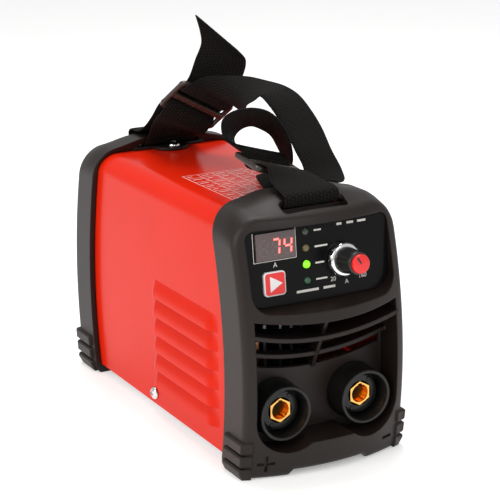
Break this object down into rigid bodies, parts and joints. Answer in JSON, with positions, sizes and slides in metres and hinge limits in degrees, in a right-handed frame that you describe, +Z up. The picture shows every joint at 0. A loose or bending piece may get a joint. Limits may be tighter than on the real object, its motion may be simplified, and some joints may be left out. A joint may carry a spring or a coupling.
{
  "type": "stick welding inverter",
  "caption": "Portable inverter power source for stick welding: folded steel cover between moulded end caps, current knob, digital display, output sockets, fan and webbing strap.",
  "frame": {"origin": "centre of the footprint, on the surface that the feet stand on", "axes": "+Z up, -Y out of the control panel, +X to the right of someone facing the panel"},
  "size_m": [0.1, 0.2408, 0.2214],
  "materials": {
    "case_plastic": "fine-textured moulded shell",
    "red_paint": "glossy powder coat",
    "zinc_steel": "zinc-plated sheet and fasteners",
    "screw_steel": "bright plated pan-head screws",
    "label_film": "printed polyester label",
    "display_body": "display package",
    "display_window": "smoked red window",
    "led_red": "unlit red lens",
    "led_amber": "unlit amber lens",
    "led_green": "lit green lens",
    "led_dark": "unlit green lens",
    "red_plastic": "moulded red plastic",
    "black_plastic": "moulded black plastic",
    "circuit_board": "solder-masked laminate",
    "aluminium": "extruded",
    "chrome": "bright plated",
    "socket_rubber": "moulded insulator",
    "brass": "machined",
    "copper": "copper bar and enamelled wire",
    "ferrite": "sintered ferrite",
    "capacitor_sleeve": "shrink sleeve",
    "buckle_plastic": "moulded tri-glide",
    "webbing": "woven webbing"
  },
  "bodies": {
    "housing": {"control_label": "label_film", "display_module": "display_body", "display_window": "display_window", "status_led_1": "led_red", "status_led_2": "led_amber", "status_led_3": "led_green", "status_led_4": "led_dark", "tact_switch": "black_plastic", "control_board": "circuit_board", "potentiometer": "zinc_steel", "potentiometer_nut": "zinc_steel", "front_bezel": "case_plastic", "rear_bezel": "case_plastic", "cover": "red_paint", "base_plate": "zinc_steel", "cover_screw_left": "screw_steel", "cover_screw_right": "screw_steel", "cap_screw_front": "screw_steel", "cap_screw_rear": "screw_steel", "socket_body_positive": "socket_rubber", "socket_insert_positive": "brass", "socket_nut_positive": "zinc_steel", "busbar_positive": "copper", "socket_body_negative": "socket_rubber", "socket_insert_negative": "brass", "socket_nut_negative": "zinc_steel", "busbar_negative": "copper", "switch_housing": "black_plastic", "cable_gland": "black_plastic", "gland_locknut": "black_plastic", "earth_stud": "zinc_steel", "earth_nut": "zinc_steel", "fan_frame": "black_plastic", "fan_axle": "zinc_steel", "main_board": "circuit_board", "power_board": "circuit_board", "board_post_1": "zinc_steel", "board_post_2": "zinc_steel", "board_post_3": "zinc_steel", "board_post_4": "zinc_steel", "heatsink_left": "aluminium", "heatsink_right": "aluminium", "transformer_core": "ferrite", "transformer_winding": "copper", "capacitor_1": "capacitor_sleeve", "capacitor_2": "capacitor_sleeve", "bridge_rectifier": "black_plastic", "output_choke": "copper", "strap_rear": "webbing", "strap_main": "webbing", "strap_front": "webbing", "strap_buckle_rear": "buckle_plastic", "strap_buckle_front": "buckle_plastic"},
    "knob": {"knob_shaft": "aluminium", "knob_skirt": "chrome", "knob_body": "black_plastic", "knob_cap": "red_plastic"},
    "button": {"mode_button": "red_plastic"},
    "rocker": {"power_rocker": "red_plastic"},
    "fan": {"fan_rotor": "black_plastic"}
  },
  "joints": [
    {"name": "knob_turn", "type": "hinge", "parent": "housing", "child": "knob", "pos_m": [0.0144, -0.11008, 0.1097], "axis": [0, 0.995, -0.0995], "range_deg": [-107, 173]},
    {"name": "button_press", "type": "slide", "parent": "housing", "child": "button", "axis": [0, 0.995, -0.0995], "range_m": [0, 0.0008], "stiffness_N_per_m": 1500},
    {"name": "rocker_tilt", "type": "hinge", "parent": "housing", "child": "rocker", "pos_m": [-0.019, 0.0946, 0.111], "axis": [1, 0, 0], "range_deg": [0, 20]},
    {"name": "fan_spin", "type": "hinge", "parent": "housing", "child": "fan", "pos_m": [0, 0.078, 0.051], "axis": [0, 1, 0], "continuous": true}
  ]
}
